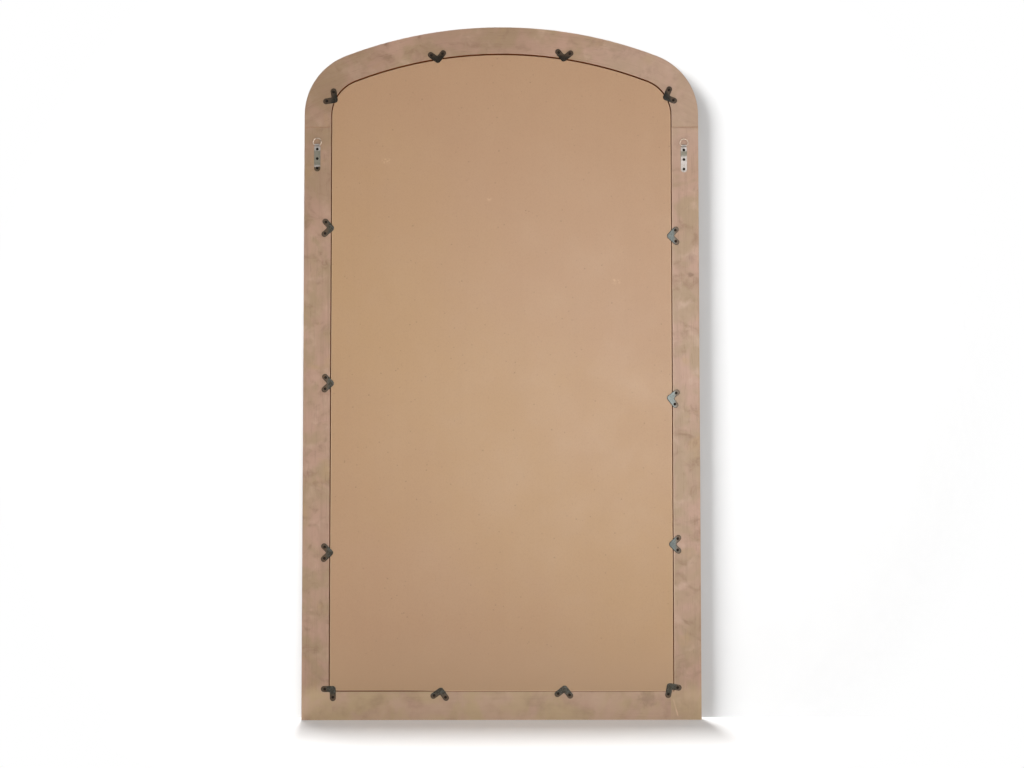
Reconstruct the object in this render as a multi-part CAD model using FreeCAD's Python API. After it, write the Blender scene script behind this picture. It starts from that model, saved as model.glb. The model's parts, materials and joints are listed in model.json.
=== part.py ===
import FreeCAD, Part
import math
import os

# Arched floor mirror in millimetres: +Z up, back of the frame towards +Y, floor at Z = 0.
# Left and right are as seen from the glass side, so right is +X.

# Wooden frame
overall_width = 1016.0
overall_height = 1778.0
frame_depth = 38.0
arch_rise = 229.0
shoulder_radius = 165.0
back_face_width = 69.0
rail_width = 71.5
sight_lip = 9.0
front_edge_radius = 8.0
back_edge_radius = 1.5
sight_edge_radius = 4.0
head_joint_drop = 32.0
joint_groove = 0.6

# Dowels in the frame joints
dowel_diameter = 10.0
dowel_length = 60.0
dowel_spacing = 32.0
dowel_offset = 4.0
dowel_clearance = 0.1
dowel_end_gap = 1.0

# Sheets in the rebate
glass_thickness = 5.0
glass_edge_gap = 3.0
cushion_thickness = 8.0
cushion_edge_gap = 5.0
board_thickness = 5.0
board_recess = 0.1
board_edge_gap = 2.6
board_seat_gap = 1.0
setting_block_length = 80.0
setting_block_spacing = 500.0

# Retaining clips: flat right-angled plates with round ends, which lie on the frame and the board
clip_leg = 38.0
clip_arm_width = 15.0
clip_corner_radius = 8.0
clip_notch_radius = 2.5
clip_thickness = 2.0
clip_edge_round = 1.3
clip_screw_inset = 10.0
clip_hole_clearance = 0.3

# Places of the clips: slip along the edge from even spacing, reach over the edge, tilt in degrees
right_side_clips = {
    "lower": (-18.0, 10.0, 1.0),
    "middle": (44.5, 10.0, 2.0),
    "upper": (74.5, 8.5, 4.0),
}
left_side_clips = {
    "lower": (3.0, 11.5, 0.0),
    "middle": (8.0, 15.0, 7.0),
    "upper": (54.5, 13.0, -2.0),
}
crown_clip_spacing = 323.0
crown_clips = {"right": (3.5, 11.5, 0.5), "left": (0.0, 8.5, -2.5)}
rail_clip_spacing = 313.0
rail_clips = {"right": (-3.5, 10.0, 9.5), "left": (-4.5, 15.0, 7.0)}

# Corner clips: angle round the shoulder, reach and tilt; below, reach inwards, reach upwards and tilt
shoulder_clips = {"right": (23.0, 8.0, 13.0), "left": (29.5, 9.5, 6.5)}
bottom_corner_clips = {"right": (16.0, 12.0, 0.0), "left": (16.0, 19.5, 10.0)}

# Screws
screw_shank_diameter = 3.2
screw_length = 12.0
screw_point_length = 3.0
screw_head_diameter = 7.0
screw_head_height = 1.8
screw_rim_height = 0.5
screw_slot_width = 0.9
screw_slot_length = 3.6
screw_slot_depth = 0.9
screw_turn_step = 37.0
pilot_clearance = 0.05
pilot_end_gap = 1.0

# Hangers: a strap with a rolled eye, and a D-shaped wire ring whose bar swings in it
hanger_drop = 48.5
strap_width = 16.0
strap_thickness = 1.2
strap_corner_radius = 2.0
strap_hole_count = 3
strap_hole_pitch = 24.7
first_hole_drop = 10.5
strap_end_margin = 8.5
strap_hole_clearance = 0.3
eye_wrap = 282.0
eye_side_gap = 0.4
shoulder_gap = 0.6
ring_diameter = 20.6
ring_rise = 7.0
ring_bend_radius = 2.5
ring_wire_diameter = 3.0
ring_clearance = 0.3

# Slip of each hanger from the middle of its upright, towards +X and upwards
hanger_slips = {"right": (1.2, 1.8), "left": (2.9, -0.7)}

# Places worked out from the sizes above
half_width = overall_width / 2
back_y = frame_depth / 2
front_y = -frame_depth / 2
spring_height = overall_height - arch_rise
shoulder_x = half_width - shoulder_radius
crown_drop = arch_rise - shoulder_radius
crown_radius = (shoulder_x ** 2 + arch_rise ** 2 - shoulder_radius ** 2) / (2 * crown_drop)
crown_height = overall_height - crown_radius
joint_height = spring_height - head_joint_drop
sight_inset = back_face_width + sight_lip
sight_base = rail_width + sight_lip
sight_half = half_width - sight_inset
rebate_half = half_width - back_face_width
rebate_y = back_y - board_recess - board_thickness - cushion_thickness - glass_thickness
glass_back_y = rebate_y + glass_thickness
cushion_back_y = glass_back_y + cushion_thickness
board_back_y = cushion_back_y + board_thickness
stile_centre = half_width - back_face_width / 2
ring_radius = ring_diameter / 2
wire_radius = ring_wire_diameter / 2
bend_reach = ring_radius - ring_bend_radius
bar_half = math.sqrt(bend_reach ** 2 - (ring_rise - ring_bend_radius) ** 2)
tongue_width = 2 * (bar_half - eye_side_gap)
eye_inner_radius = wire_radius + ring_clearance
eye_outer_radius = eye_inner_radius + strap_thickness
eye_y = back_y + eye_outer_radius
eye_height = joint_height - hanger_drop

out_of_back = FreeCAD.Vector(0, 1, 0)
up = FreeCAD.Vector(0, 0, 1)
across = FreeCAD.Vector(1, 0, 0)
margin = 10.0
tolerance = 0.01
sides = {"right": 1, "left": -1}


def point(x, z):
    return FreeCAD.Vector(x, 0, z)


def line(start, end):
    return Part.LineSegment(start, end).toShape()


def arc(start, middle, end):
    return Part.Arc(start, middle, end).toShape()


def arch_wire(inset, base):
    """Outline of the arch moved inwards by inset, closed by a level line at base."""
    half = half_width - inset
    shoulder = shoulder_radius - inset
    crown = crown_radius - inset
    join_angle = math.atan2(spring_height - crown_height, shoulder_x)
    join_x = crown * math.cos(join_angle)
    join_z = crown_height + crown * math.sin(join_angle)
    bend_x = shoulder_x + shoulder * math.cos(join_angle / 2)
    bend_z = spring_height + shoulder * math.sin(join_angle / 2)
    edges = [
        line(point(-half, base), point(half, base)),
        line(point(half, base), point(half, spring_height)),
        arc(point(half, spring_height), point(bend_x, bend_z), point(join_x, join_z)),
        arc(point(join_x, join_z), point(0, crown_height + crown), point(-join_x, join_z)),
        arc(point(-join_x, join_z), point(-bend_x, bend_z), point(-half, spring_height)),
        line(point(-half, spring_height), point(-half, base)),
    ]
    return Part.Wire(edges)


def arch_sheet(inset, base, low_y, high_y):
    face = Part.Face(arch_wire(inset, base))
    face.translate(FreeCAD.Vector(0, low_y, 0))
    return face.extrude(out_of_back * (high_y - low_y))


def box(low_x, high_x, low_y, high_y, low_z, high_z):
    corner = FreeCAD.Vector(low_x, low_y, low_z)
    return Part.makeBox(high_x - low_x, high_y - low_y, high_z - low_z, corner)


def turned_to(shape, origin, along, outward):
    """Copy of a shape drawn with its length on X and its thickness on Z, laid on a face."""
    rotation = FreeCAD.Rotation(along, outward.cross(along), outward, "ZXY")
    placed = shape.copy()
    placed.Placement = FreeCAD.Placement(origin, rotation)
    return placed


def near(value, target):
    return abs(value - target) < tolerance


def level_edges(solid, y):
    """Edges that lie in the plane at y, without the one on the floor."""
    found = []
    for edge in solid.Edges:
        bounds = edge.BoundBox
        if near(bounds.YMin, y) and near(bounds.YMax, y) and not near(bounds.ZMax, 0):
            found.append(edge)
    return found


def sight_edges(blank):
    """Front edges round the sight opening."""
    found = []
    for edge in level_edges(blank, front_y):
        bounds = edge.BoundBox
        within = bounds.XMax < sight_half + margin and bounds.XMin > -sight_half - margin
        if within and bounds.ZMin > sight_base - margin:
            found.append(edge)
    return found


def frame_blank():
    """The whole moulding before it is parted at the joints."""
    blank = arch_sheet(0, 0, front_y, back_y)
    blank = blank.makeFillet(front_edge_radius, level_edges(blank, front_y))
    blank = blank.makeFillet(back_edge_radius, level_edges(blank, back_y))
    blank = blank.cut(arch_sheet(sight_inset, sight_base, front_y - margin, back_y + margin))
    blank = blank.makeFillet(sight_edge_radius, sight_edges(blank))
    return blank.cut(arch_sheet(back_face_width, rail_width, rebate_y, back_y + margin))


def seam_groove():
    """Fine V groove along the back of both head joints."""
    ridge = FreeCAD.Vector(-half_width - margin, back_y - joint_groove, joint_height)
    below = ridge + FreeCAD.Vector(0, 2 * joint_groove, -joint_groove)
    above = ridge + FreeCAD.Vector(0, 2 * joint_groove, joint_groove)
    section = Part.Face(Part.makePolygon([ridge, below, above, ridge]))
    return section.extrude(across * (overall_width + 2 * margin))


def rod(radius, length, centre, direction):
    return Part.makeCylinder(radius, length, centre - direction * (length / 2), direction)


def dowel_places():
    """Centre and direction of each dowel: two in each of the four joints."""
    places = []
    for side in sides.values():
        for step in (-dowel_spacing / 2, dowel_spacing / 2):
            head = FreeCAD.Vector(side * (stile_centre + step), -dowel_offset, joint_height)
            rail = FreeCAD.Vector(side * sight_half, -dowel_offset, rail_width / 2 + step)
            places.append((head, up))
            places.append((rail, across))
    return places


def frame_dowels():
    radius = dowel_diameter / 2
    return Part.makeCompound([rod(radius, dowel_length, *place) for place in dowel_places()])


def dowel_holes():
    radius = dowel_diameter / 2 + dowel_clearance
    length = dowel_length + 2 * dowel_end_gap
    return Part.makeCompound([rod(radius, length, *place) for place in dowel_places()])


def frame_pieces(screw_holes):
    """Head, uprights and rail, parted at the joints and drilled."""
    blank = frame_blank().cut(seam_groove())
    blank = blank.cut(dowel_holes())
    blank = blank.cut(screw_holes)
    low_y = front_y - margin
    high_y = back_y + margin
    end_x = half_width + margin
    top_z = overall_height + margin
    rooms = {
        "arched_head": box(-end_x, end_x, low_y, high_y, joint_height, top_z),
        "right_stile": box(sight_half, end_x, low_y, high_y, -margin, joint_height),
        "left_stile": box(-end_x, -sight_half, low_y, high_y, -margin, joint_height),
        "bottom_rail": box(-sight_half, sight_half, low_y, high_y, -margin, joint_height),
    }
    return {name: blank.common(room) for name, room in rooms.items()}


def mirror_glass():
    base = rail_width + glass_edge_gap
    return arch_sheet(back_face_width + glass_edge_gap, base, rebate_y, glass_back_y)


def setting_blocks():
    """Two blocks that fill the gap under the glass."""
    blocks = []
    for side in sides.values():
        centre = side * setting_block_spacing / 2
        low_x = centre - setting_block_length / 2
        high_x = centre + setting_block_length / 2
        top_z = rail_width + glass_edge_gap
        blocks.append(box(low_x, high_x, rebate_y, glass_back_y, rail_width, top_z))
    return Part.makeCompound(blocks)


def cushion_sheet():
    base = rail_width + cushion_edge_gap
    return arch_sheet(back_face_width + cushion_edge_gap, base, glass_back_y, cushion_back_y)


def backing_board():
    """Fibreboard sheet, which lies nearer to the rail than to the other edges of its rebate."""
    base = rail_width + board_edge_gap
    board = arch_sheet(back_face_width + board_edge_gap, base, cushion_back_y, board_back_y)
    board.translate(up * (board_seat_gap - board_edge_gap))
    return board


def clip_arm_point(turn, from_end):
    """Point on the middle line of one arm, measured from the sharp outer corner; turn is 1 or -1."""
    length = clip_leg - from_end
    half = clip_arm_width / 2
    slant = math.sqrt(0.5)
    return FreeCAD.Vector(-slant * (length + half), turn * slant * (length - half), 0)


def clip_tip_offset():
    """Distance from the sharp outer corner to the rounded tip."""
    return clip_corner_radius * (math.sqrt(2) - 1)


def clip_outline():
    """Flat right-angled plate with its rounded tip at the origin, pointing along X."""
    slant = math.sqrt(0.5)
    radius = clip_arm_width / 2
    notch = FreeCAD.Vector(-clip_arm_width / slant, 0, 0)
    edges = []
    ends = {}
    for turn in (1, -1):
        along = FreeCAD.Vector(-slant, turn * slant, 0)
        inward = FreeCAD.Vector(-slant, -turn * slant, 0)
        centre = clip_arm_point(turn, radius)
        outer = centre - inward * radius
        inner = centre + inward * radius
        corner = along * clip_corner_radius
        crook = notch + along * clip_notch_radius
        edges.append(line(corner, outer))
        edges.append(arc(outer, centre + along * radius, inner))
        edges.append(line(inner, crook))
        ends[turn] = (corner, crook)
    tip = FreeCAD.Vector(-clip_tip_offset(), 0, 0)
    bight = notch - FreeCAD.Vector(clip_notch_radius * (math.sqrt(2) - 1), 0, 0)
    edges.append(arc(ends[1][0], tip, ends[-1][0]))
    edges.append(arc(ends[1][1], bight, ends[-1][1]))
    wire = Part.Wire(Part.__sortEdges__(edges))
    wire.translate(FreeCAD.Vector(clip_tip_offset(), 0, 0))
    return wire


def clip_screw_spots():
    """The two screw centres on a clip, from its tip."""
    shift = FreeCAD.Vector(clip_tip_offset(), 0, 0)
    return [clip_arm_point(turn, clip_screw_inset) + shift for turn in (1, -1)]


def retaining_clip():
    """Flat right-angled plate with its upper rim rounded over and a hole in each arm."""
    clip = Part.Face(clip_outline()).extrude(up * clip_thickness)
    upper_rim = [edge for edge in clip.Edges if near(edge.BoundBox.ZMin, clip_thickness)]
    clip = clip.makeFillet(clip_edge_round, upper_rim)
    hole_radius = screw_shank_diameter / 2 + clip_hole_clearance
    for spot in clip_screw_spots():
        clip = clip.cut(Part.makeCylinder(hole_radius, clip_thickness, spot))
    return clip


def clip_place(edge_x, edge_z, facing, reach, tilt):
    """Tip and pointing direction of a clip that crosses a rebate edge facing the given way."""
    facing = math.radians(facing)
    heading = facing + math.radians(tilt)
    tip = FreeCAD.Vector(edge_x + reach * math.cos(facing), back_y, edge_z + reach * math.sin(facing))
    along = FreeCAD.Vector(math.cos(heading), 0, math.sin(heading))
    return tip, along


def side_clip_places():
    """Clips on the uprights, evenly spaced between the corners apart from their slips."""
    places = {}
    for side_name, clips in (("right", right_side_clips), ("left", left_side_clips)):
        side = sides[side_name]
        facing = 180 if side > 0 else 0
        pitch = (spring_height - rail_width) / (len(clips) + 1)
        for row, (row_name, (slip, reach, tilt)) in enumerate(clips.items()):
            height = rail_width + pitch * (row + 1) + slip
            place = clip_place(side * rebate_half, height, facing, reach, tilt)
            places[f"clip_{side_name}_{row_name}"] = place
    return places


def crown_clip_places():
    """Clips under the crown of the arch, each facing the crown's centre."""
    places = {}
    radius = crown_radius - back_face_width
    for name, (slip, reach, tilt) in crown_clips.items():
        edge_x = sides[name] * crown_clip_spacing / 2 + slip
        edge_z = crown_height + math.sqrt(radius ** 2 - edge_x ** 2)
        facing = math.degrees(math.atan2(crown_height - edge_z, -edge_x))
        places[f"clip_crown_{name}"] = clip_place(edge_x, edge_z, facing, reach, tilt)
    return places


def rail_clip_places():
    places = {}
    for name, (slip, reach, tilt) in rail_clips.items():
        edge_x = sides[name] * rail_clip_spacing / 2 + slip
        places[f"clip_rail_{name}"] = clip_place(edge_x, rail_width, 90, reach, tilt)
    return places


def shoulder_clip_places():
    """Clips in the upper corners, each facing the centre of its shoulder curve."""
    places = {}
    radius = shoulder_radius - back_face_width
    for name, (angle, reach, tilt) in shoulder_clips.items():
        side = sides[name]
        edge_x = side * (shoulder_x + radius * math.cos(math.radians(angle)))
        edge_z = spring_height + radius * math.sin(math.radians(angle))
        facing = 180 + angle if side > 0 else -angle
        places[f"clip_shoulder_{name}"] = clip_place(edge_x, edge_z, facing, reach, tilt)
    return places


def bottom_corner_places():
    """Clips in the lower corners, each pointing up and inwards across both edges."""
    places = {}
    for name, (inward, upward, tilt) in bottom_corner_clips.items():
        side = sides[name]
        heading = math.radians((135 if side > 0 else 45) + tilt)
        tip = FreeCAD.Vector(side * (rebate_half - inward), back_y, rail_width + upward)
        along = FreeCAD.Vector(math.cos(heading), 0, math.sin(heading))
        places[f"clip_corner_{name}"] = (tip, along)
    return places


def clip_places():
    places = side_clip_places()
    places.update(crown_clip_places())
    places.update(rail_clip_places())
    places.update(shoulder_clip_places())
    places.update(bottom_corner_places())
    return places


def clips_and_screw_seats():
    """Every clip in its place, and where the screws sit on them."""
    clips = {}
    seats = []
    master = retaining_clip()
    for name, (tip, along) in clip_places().items():
        clips[name] = turned_to(master, tip, along, out_of_back)
        cross = out_of_back.cross(along)
        for spot in clip_screw_spots():
            seats.append(tip + along * spot.x + cross * spot.y + out_of_back * clip_thickness)
    return clips, seats


def screw():
    """Pan-head screw with a cross slot, its seat at the origin and its head towards Z."""
    head_radius = screw_head_diameter / 2
    shank_radius = screw_shank_diameter / 2
    shoulder_z = -screw_length + screw_point_length
    dome = math.sqrt(0.5)
    crown_rise = screw_head_height - screw_rim_height
    crown = FreeCAD.Vector(0, 0, screw_head_height)
    rim = FreeCAD.Vector(head_radius, 0, screw_rim_height)
    middle = FreeCAD.Vector(head_radius * dome, 0, screw_rim_height + crown_rise * dome)
    outline = [
        rim,
        FreeCAD.Vector(head_radius, 0, 0),
        FreeCAD.Vector(shank_radius, 0, 0),
        FreeCAD.Vector(shank_radius, 0, shoulder_z),
        FreeCAD.Vector(0, 0, -screw_length),
        crown,
    ]
    edges = [arc(crown, middle, rim)]
    for start, end in zip(outline, outline[1:]):
        edges.append(line(start, end))
    solid = Part.Face(Part.Wire(edges)).revolve(FreeCAD.Vector(0, 0, 0), up, 360)
    half_length = screw_slot_length / 2
    half_slot = screw_slot_width / 2
    floor = screw_head_height - screw_slot_depth
    solid = solid.cut(box(-half_length, half_length, -half_slot, half_slot, floor, margin))
    return solid.cut(box(-half_slot, half_slot, -half_length, half_length, floor, margin))


def screw_group(seats):
    """A screw on each seat, each turned a little further than the last."""
    master = screw()
    screws = []
    for number, seat in enumerate(seats):
        turn = math.radians(screw_turn_step * number)
        along = FreeCAD.Vector(math.cos(turn), 0, math.sin(turn))
        screws.append(turned_to(master, seat, along, out_of_back))
    return Part.makeCompound(screws)


def pilot_holes(seats):
    radius = screw_shank_diameter / 2 + pilot_clearance
    length = screw_length + pilot_end_gap
    into_back = out_of_back * -1
    return Part.makeCompound([Part.makeCylinder(radius, length, seat, into_back) for seat in seats])


def strap_hole_heights():
    first = eye_height - first_hole_drop
    return [first - strap_hole_pitch * number for number in range(strap_hole_count)]


def strap_plate():
    """Flat of the strap, with a round lower end, and the narrow tongue that leads into the eye."""
    half = strap_width / 2
    end_z = strap_hole_heights()[-1] - strap_end_margin
    shoulder_z = eye_height - eye_outer_radius - shoulder_gap
    tongue_z = shoulder_z - strap_corner_radius
    high_y = back_y + strap_thickness
    plate = box(-half, half, back_y, high_y, end_z + half, shoulder_z)
    corners = [edge for edge in plate.Edges if near(edge.BoundBox.ZMin, shoulder_z)]
    corners = [edge for edge in corners if edge.BoundBox.YLength > tolerance]
    plate = plate.makeFillet(strap_corner_radius, corners)
    foot_centre = FreeCAD.Vector(0, back_y, end_z + half)
    foot = Part.makeCylinder(half, strap_thickness, foot_centre, out_of_back)
    tongue = box(-tongue_width / 2, tongue_width / 2, back_y, high_y, tongue_z, eye_height)
    plate = plate.fuse([foot, tongue]).removeSplitter()
    hole_radius = screw_shank_diameter / 2 + strap_hole_clearance
    for height in strap_hole_heights():
        hole_centre = FreeCAD.Vector(0, back_y, height)
        plate = plate.cut(Part.makeCylinder(hole_radius, strap_thickness, hole_centre, out_of_back))
    return plate


def strap_eye():
    """Rolled eye: the tongue carries on round the ring's wire."""
    def at(radius, angle):
        turn = math.radians(angle)
        y = eye_y - radius * math.cos(turn)
        z = eye_height + radius * math.sin(turn)
        return FreeCAD.Vector(-tongue_width / 2, y, z)

    inner = eye_inner_radius
    outer = eye_outer_radius
    edges = [
        arc(at(outer, 0), at(outer, eye_wrap / 2), at(outer, eye_wrap)),
        line(at(outer, eye_wrap), at(inner, eye_wrap)),
        arc(at(inner, eye_wrap), at(inner, eye_wrap / 2), at(inner, 0)),
        line(at(inner, 0), at(outer, 0)),
    ]
    return Part.Face(Part.Wire(edges)).extrude(across * tongue_width)


def hanger_shift(name):
    """From the middle line of the frame to one hanger."""
    slip_x, slip_z = hanger_slips[name]
    return FreeCAD.Vector(sides[name] * stile_centre + slip_x, 0, slip_z)


def hanger_strap(name):
    strap = strap_plate().fuse(strap_eye()).removeSplitter()
    strap.translate(hanger_shift(name))
    return strap


def wire_disc(centre, direction):
    return Part.Face(Part.Wire(Part.makeCircle(wire_radius, centre, direction)))


def hanger_ring(name):
    """Closed wire ring standing up from its eye: a straight bar, two tight bends and a round."""
    into_back = out_of_back * -1
    round_centre = point(0, ring_rise)
    bend_centre = point(bar_half, ring_bend_radius)
    start_angle = math.atan2(ring_bend_radius - ring_rise, bar_half)
    reach = FreeCAD.Vector(math.cos(start_angle), 0, math.sin(start_angle))
    along = FreeCAD.Vector(-math.sin(start_angle), 0, math.cos(start_angle))
    turn = math.degrees(start_angle)
    bar = rod(wire_radius, 2 * bar_half, point(0, 0), across)
    bend = wire_disc(point(bar_half, 0), across).revolve(bend_centre, into_back, 90 + turn)
    other_bend = bend.mirror(point(0, 0), across)
    start_disc = wire_disc(round_centre + reach * ring_radius, along)
    round_part = start_disc.revolve(round_centre, into_back, 180 - 2 * turn)
    ring = bar.fuse([bend, other_bend, round_part]).removeSplitter()
    ring.translate(FreeCAD.Vector(0, eye_y, eye_height) + hanger_shift(name))
    return ring


def hanger_screw_seats():
    seats = []
    for name in sides:
        for height in strap_hole_heights():
            seats.append(FreeCAD.Vector(0, back_y + strap_thickness, height) + hanger_shift(name))
    return seats


def mirror_pieces():
    """Every piece of the mirror, by name."""
    clips, clip_seats = clips_and_screw_seats()
    hanger_seats = hanger_screw_seats()
    pieces = frame_pieces(pilot_holes(clip_seats + hanger_seats))
    pieces["frame_dowels"] = frame_dowels()
    pieces["mirror_glass"] = mirror_glass()
    pieces["setting_blocks"] = setting_blocks()
    pieces["cushion_sheet"] = cushion_sheet()
    pieces["backing_board"] = backing_board()
    pieces.update(clips)
    pieces["clip_screws"] = screw_group(clip_seats)
    for name in sides:
        pieces[f"{name}_hanger_strap"] = hanger_strap(name)
        pieces[f"{name}_hanger_ring"] = hanger_ring(name)
    pieces["hanger_screws"] = screw_group(hanger_seats)
    return pieces


os.makedirs("parts", exist_ok=True)
for piece_name, piece in mirror_pieces().items():
    piece.exportStep(f"parts/{piece_name}.step")
    print(piece_name, len(piece.Solids), "solids", round(piece.Volume), "mm3", "valid", piece.isValid())
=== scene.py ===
import bmesh
import bpy
import json
import math
from mathutils import Matrix, Vector

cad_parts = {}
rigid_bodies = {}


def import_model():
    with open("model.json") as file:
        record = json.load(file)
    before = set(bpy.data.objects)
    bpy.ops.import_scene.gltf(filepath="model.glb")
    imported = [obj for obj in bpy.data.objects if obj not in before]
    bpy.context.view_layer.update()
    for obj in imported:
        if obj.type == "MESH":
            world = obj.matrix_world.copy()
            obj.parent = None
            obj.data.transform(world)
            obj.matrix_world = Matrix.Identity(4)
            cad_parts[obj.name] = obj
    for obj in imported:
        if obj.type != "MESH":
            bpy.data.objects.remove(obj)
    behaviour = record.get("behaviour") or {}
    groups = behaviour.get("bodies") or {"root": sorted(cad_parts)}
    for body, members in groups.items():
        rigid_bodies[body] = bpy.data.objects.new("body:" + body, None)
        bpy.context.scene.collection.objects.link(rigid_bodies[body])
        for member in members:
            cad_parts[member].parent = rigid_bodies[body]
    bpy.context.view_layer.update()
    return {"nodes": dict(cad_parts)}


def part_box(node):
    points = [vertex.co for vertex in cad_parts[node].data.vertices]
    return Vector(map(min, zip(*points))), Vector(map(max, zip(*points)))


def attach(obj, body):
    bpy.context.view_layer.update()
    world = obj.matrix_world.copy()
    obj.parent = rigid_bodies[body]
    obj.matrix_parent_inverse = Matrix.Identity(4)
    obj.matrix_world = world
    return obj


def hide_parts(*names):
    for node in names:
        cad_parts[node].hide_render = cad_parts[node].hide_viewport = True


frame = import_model()
nodes = frame["nodes"]
print("frame loaded:", len(nodes), "nodes")


class Wire:  # one socket, so that shader maths reads as sums
    def __init__(self, bench, socket):
        self.bench = bench
        self.socket = socket

    def maths(self, operation, first, second):
        return self.bench.node("ShaderNodeMath", {"operation": operation}, {0: first, 1: second})

    def __add__(self, other):
        return self.maths("ADD", self, other)

    def __radd__(self, other):
        return self.maths("ADD", other, self)

    def __sub__(self, other):
        return self.maths("SUBTRACT", self, other)

    def __rsub__(self, other):
        return self.maths("SUBTRACT", other, self)

    def __mul__(self, other):
        return self.maths("MULTIPLY", self, other)

    def __rmul__(self, other):
        return self.maths("MULTIPLY", other, self)

    def __pow__(self, other):
        return self.maths("POWER", self, other)

    def __rpow__(self, other):
        return self.maths("POWER", other, self)

    def __abs__(self):
        return self.maths("ABSOLUTE", self, 0.0)

    def larger(self, other):
        return self.maths("MAXIMUM", self, other)

    def output(self, name):  # another socket of the same node
        return Wire(self.bench, self.socket.node.outputs[name])


class Bench:  # the node tree of a material or of the world
    def __init__(self, owner):
        owner.use_nodes = True
        self.owner = owner
        self.tree = owner.node_tree
        self.tree.nodes.clear()

    def node(self, kind, settings=None, sockets=None, out=0):
        made = self.tree.nodes.new(kind)
        for name, value in (settings or {}).items():
            setattr(made, name, value)
        for name, value in (sockets or {}).items():
            if isinstance(value, Wire):
                self.tree.links.new(value.socket, made.inputs[name])
            else:
                made.inputs[name].default_value = value
        return Wire(self, made.outputs[out]) if made.outputs else None


def tone(red, green, blue):  # a picked 8-bit colour as the shader wants it
    picked = [value / 255 for value in (red, green, blue)]
    linear = [v / 12.92 if v <= 0.04045 else ((v + 0.055) / 1.055) ** 2.4 for v in picked]
    return (*linear, 1.0)


def newFinish(name):
    return Bench(bpy.data.materials.new(name))


def surfacePlace(bench):
    return bench.node("ShaderNodeTexCoord", None, None, "Object")


def surfaceNormal(bench):
    return bench.node("ShaderNodeTexCoord", None, None, "Normal")


def axes(bench, vector, names):
    parts = bench.node("ShaderNodeSeparateXYZ", None, {0: vector})
    return [parts.output(name) for name in names]


def surfaceFacing(bench):  # 1 where it looks out of the back, -1 where it looks out of the front
    return axes(bench, surfaceNormal(bench), "Y")[0]


def awayFrom(x, z, spotX, spotZ):
    return ((x - spotX) ** 2.0 + (z - spotZ) ** 2.0) ** 0.5


def moved(bench, place, shift):
    return bench.node("ShaderNodeVectorMath", {"operation": "ADD"}, {0: place, 1: shift})


def stretched(bench, place, scale):
    return bench.node("ShaderNodeVectorMath", {"operation": "MULTIPLY"}, {0: place, 1: scale})


def laid(bench, place, plan):  # where a pattern lies
    if "shift" in plan:
        place = moved(bench, place, plan["shift"])
    if "stretch" in plan:
        place = stretched(bench, place, plan["stretch"])
    return place


def noise(bench, place, plan):
    return bench.node("ShaderNodeTexNoise", None, {
        "Vector": laid(bench, place, plan),
        "Scale": plan.get("scale", 1.0),
        "Detail": plan.get("detail", 3.0),
        "Roughness": plan.get("rough", 0.55),
        "Distortion": plan.get("twist", 0.0),
    })


def sway(bench, place, plan):  # noise on both sides of zero
    return noise(bench, place, plan) - 0.5


def cells(bench, place, plan):
    sockets = {"Vector": laid(bench, place, plan), "Scale": plan.get("scale", 1.0)}
    return bench.node("ShaderNodeTexVoronoi", {"feature": "F1"}, sockets)


def ease(bench, value, span):  # 0 at one end of the span, 1 at the other, soft at both
    sockets = {"Value": value, "From Min": span[0], "From Max": span[1]}
    return bench.node("ShaderNodeMapRange", {"interpolation_type": "SMOOTHSTEP"}, sockets)


def patches(bench, place, plan):
    return ease(bench, noise(bench, place, plan), plan["span"])


def spots(bench, place, plan):
    return ease(bench, cells(bench, place, plan), plan["span"])


def tint(bench, share, first, second):
    settings = {"data_type": "RGBA", "blend_type": "MIX"}
    return bench.node("ShaderNodeMix", settings, {0: share, 6: first, 7: second}, 2)


def bumped(bench, height, strength, distance):
    return bench.node("ShaderNodeBump", None, {"Height": height, "Strength": strength, "Distance": distance})


def finished(bench, sockets):
    shader = bench.node("ShaderNodeBsdfPrincipled", None, sockets)
    bench.node("ShaderNodeOutputMaterial", None, {"Surface": shader})
    return bench.owner


def dress(material, *names):
    for name in names:
        for slot in nodes[name].material_slots:
            slot.material = material


def placed(name, data):  # a new object in the scene
    made = bpy.data.objects.new(name, data)
    bpy.context.scene.collection.objects.link(made)
    return made


# lines of the back that the finishes and the foam follow
backPlan = {
    "archRise": 0.229,  # top of the arch above the middle of the shoulder's round
    "shoulderRadius": 0.165,
    "faceWidth": 0.069,  # from the outline in to the rebate
    "seatGap": 0.001,  # under the board
    "middle": 0.9,  # about half the height
}


def backLines():
    plan = backPlan
    headLow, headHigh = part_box("arched_head")
    boardLow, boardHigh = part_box("backing_board")
    top = round(headHigh[2], 3)  # the mesh stops a hair short of the arc
    rise, turn = plan["archRise"], plan["shoulderRadius"]
    turnX, turnZ = headHigh[0] - turn, top - rise
    crown = (turnX ** 2 + rise ** 2 - turn ** 2) / (2 * (rise - turn))  # runs smoothly into both shoulders
    return {
        "face": headHigh[1],
        "jointHeight": headLow[2],
        "shoulder": (turnX, turnZ),  # middle of its round
        "crownMiddle": top - crown,
        "rebateHalf": headHigh[0] - plan["faceWidth"],
        "rebateBase": boardLow[2] - plan["seatGap"],
        "rebateTurn": turn - plan["faceWidth"],
        "rebateCrown": crown - plan["faceWidth"],
        "boardHalf": boardHigh[0],
        "boardBase": boardLow[2],
    }


back = backLines()


def atDepth(bench, y, depths):  # between two depths below the back's face
    return ease(bench, y, [back["face"] - depth for depth in depths])


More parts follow.
